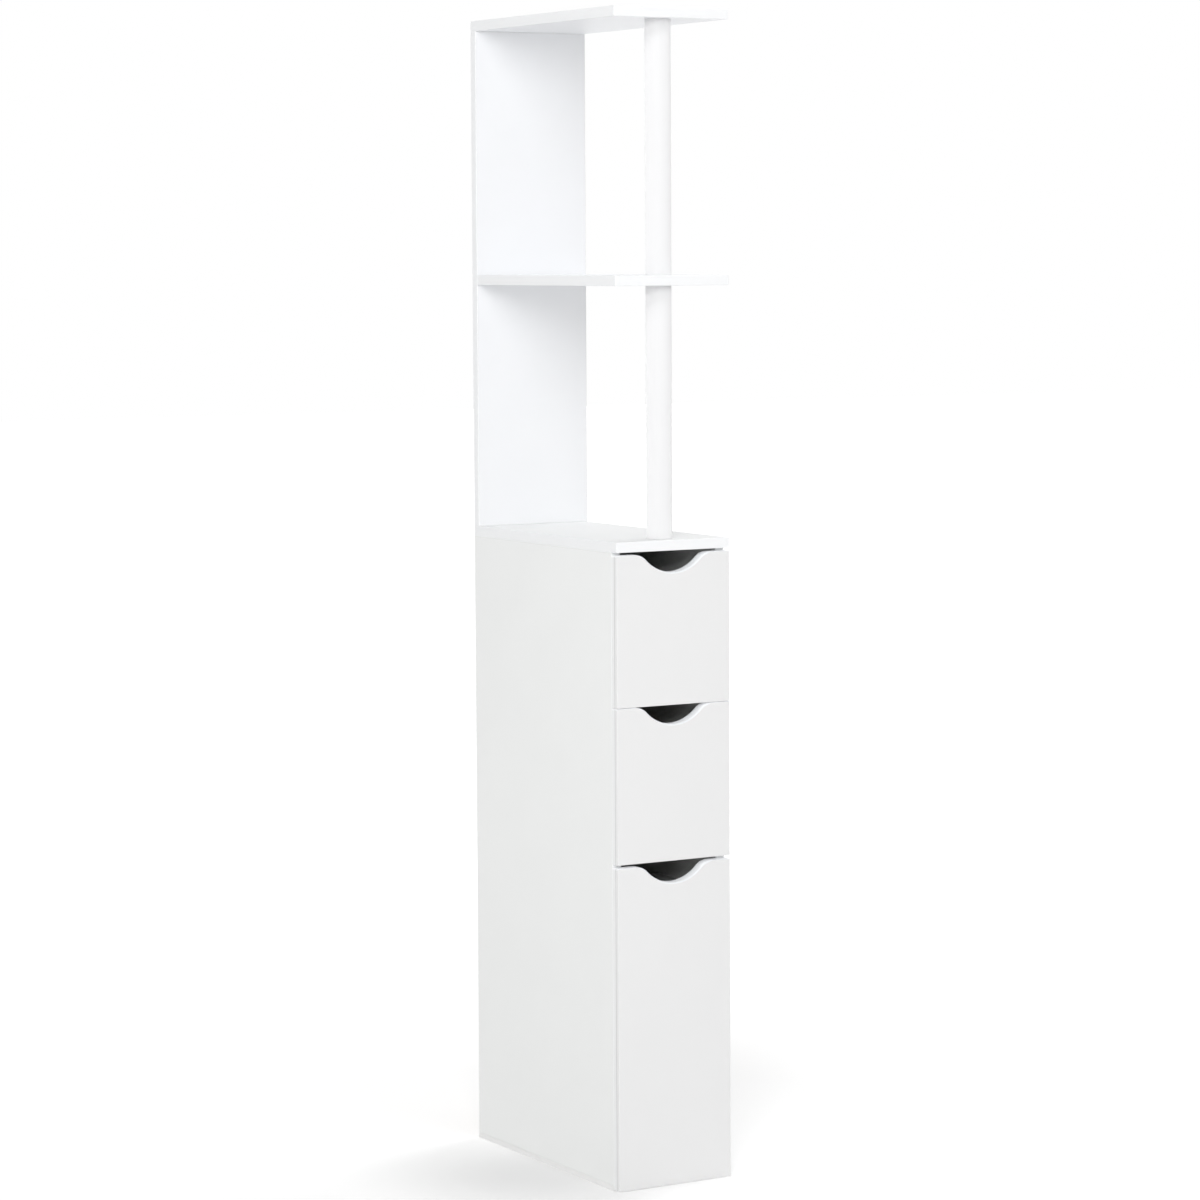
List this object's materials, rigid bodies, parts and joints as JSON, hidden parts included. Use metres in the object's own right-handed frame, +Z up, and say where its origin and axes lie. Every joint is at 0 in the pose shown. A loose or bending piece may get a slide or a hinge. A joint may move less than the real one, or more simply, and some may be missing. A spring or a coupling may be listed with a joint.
{
  "type": "over-toilet cabinet",
  "caption": "Slim white free-standing bathroom cabinet: stacked drawers with wave-shaped finger cuts below an open tower of shelves on a rear panel and a round pole.",
  "frame": {"origin": "middle of the footprint on the floor, bottom centre of the whole cabinet", "axes": "+Z up; -Y is the front that the drawers open towards; +X to the right of someone who looks at the front"},
  "size_m": [0.152, 0.338, 1.36],
  "materials": {
    "white_board": "satin white melamine on particle board",
    "lacquered_wood": "satin white lacquer on turned wood",
    "hardboard": "matte white-lacquered hardboard",
    "runner_plastic": "matte moulded polypropylene",
    "strip_plastic": "matte moulded polypropylene",
    "zinc_cam": "die-cast zinc, matte",
    "zinc_plated_steel": "zinc-plated steel",
    "beech": "raw beech"
  },
  "bodies": {
    "cabinet": {"bottom_panel": "white_board", "cabinet_back": "hardboard", "carcass_bolts": "zinc_plated_steel", "carcass_cams": "zinc_cam", "carcass_dowels": "beech", "left_foot_strip": "strip_plastic", "left_side_panel": "white_board", "lower_left_runner": "runner_plastic", "lower_pole": "lacquered_wood", "lower_rail": "white_board", "lower_right_runner": "runner_plastic", "middle_left_runner": "runner_plastic", "middle_right_runner": "runner_plastic", "middle_shelf": "white_board", "panel_screws": "zinc_plated_steel", "pole_dowel": "beech", "pole_screw": "zinc_plated_steel", "pole_stud": "zinc_plated_steel", "rear_panel": "white_board", "right_foot_strip": "strip_plastic", "right_side_panel": "white_board", "runner_screws": "zinc_plated_steel", "top_panel": "white_board", "top_shelf": "white_board", "upper_left_runner": "runner_plastic", "upper_pole": "lacquered_wood", "upper_rail": "white_board", "upper_right_runner": "runner_plastic"},
    "upper_drawer": {"upper_drawer_back": "white_board", "upper_drawer_bottom": "hardboard", "upper_drawer_bottom_screws": "zinc_plated_steel", "upper_drawer_front": "white_board", "upper_drawer_front_bolts": "zinc_plated_steel", "upper_drawer_front_cams": "zinc_cam", "upper_drawer_left_side": "white_board", "upper_drawer_right_side": "white_board", "upper_drawer_screws": "zinc_plated_steel"},
    "middle_drawer": {"middle_drawer_back": "white_board", "middle_drawer_bottom": "hardboard", "middle_drawer_bottom_screws": "zinc_plated_steel", "middle_drawer_front": "white_board", "middle_drawer_front_bolts": "zinc_plated_steel", "middle_drawer_front_cams": "zinc_cam", "middle_drawer_left_side": "white_board", "middle_drawer_right_side": "white_board", "middle_drawer_screws": "zinc_plated_steel"},
    "lower_drawer": {"lower_drawer_back": "white_board", "lower_drawer_bottom": "hardboard", "lower_drawer_bottom_screws": "zinc_plated_steel", "lower_drawer_front": "white_board", "lower_drawer_front_bolts": "zinc_plated_steel", "lower_drawer_front_cams": "zinc_cam", "lower_drawer_left_side": "white_board", "lower_drawer_right_side": "white_board", "lower_drawer_screws": "zinc_plated_steel"}
  },
  "joints": [
    {"name": "upper_drawer_slide", "type": "slide", "parent": "cabinet", "child": "upper_drawer", "axis": [0, -1, 0], "range_m": [0, 0.2]},
    {"name": "middle_drawer_slide", "type": "slide", "parent": "cabinet", "child": "middle_drawer", "axis": [0, -1, 0], "range_m": [0, 0.2]},
    {"name": "lower_drawer_slide", "type": "slide", "parent": "cabinet", "child": "lower_drawer", "axis": [0, -1, 0], "range_m": [0, 0.2]}
  ]
}
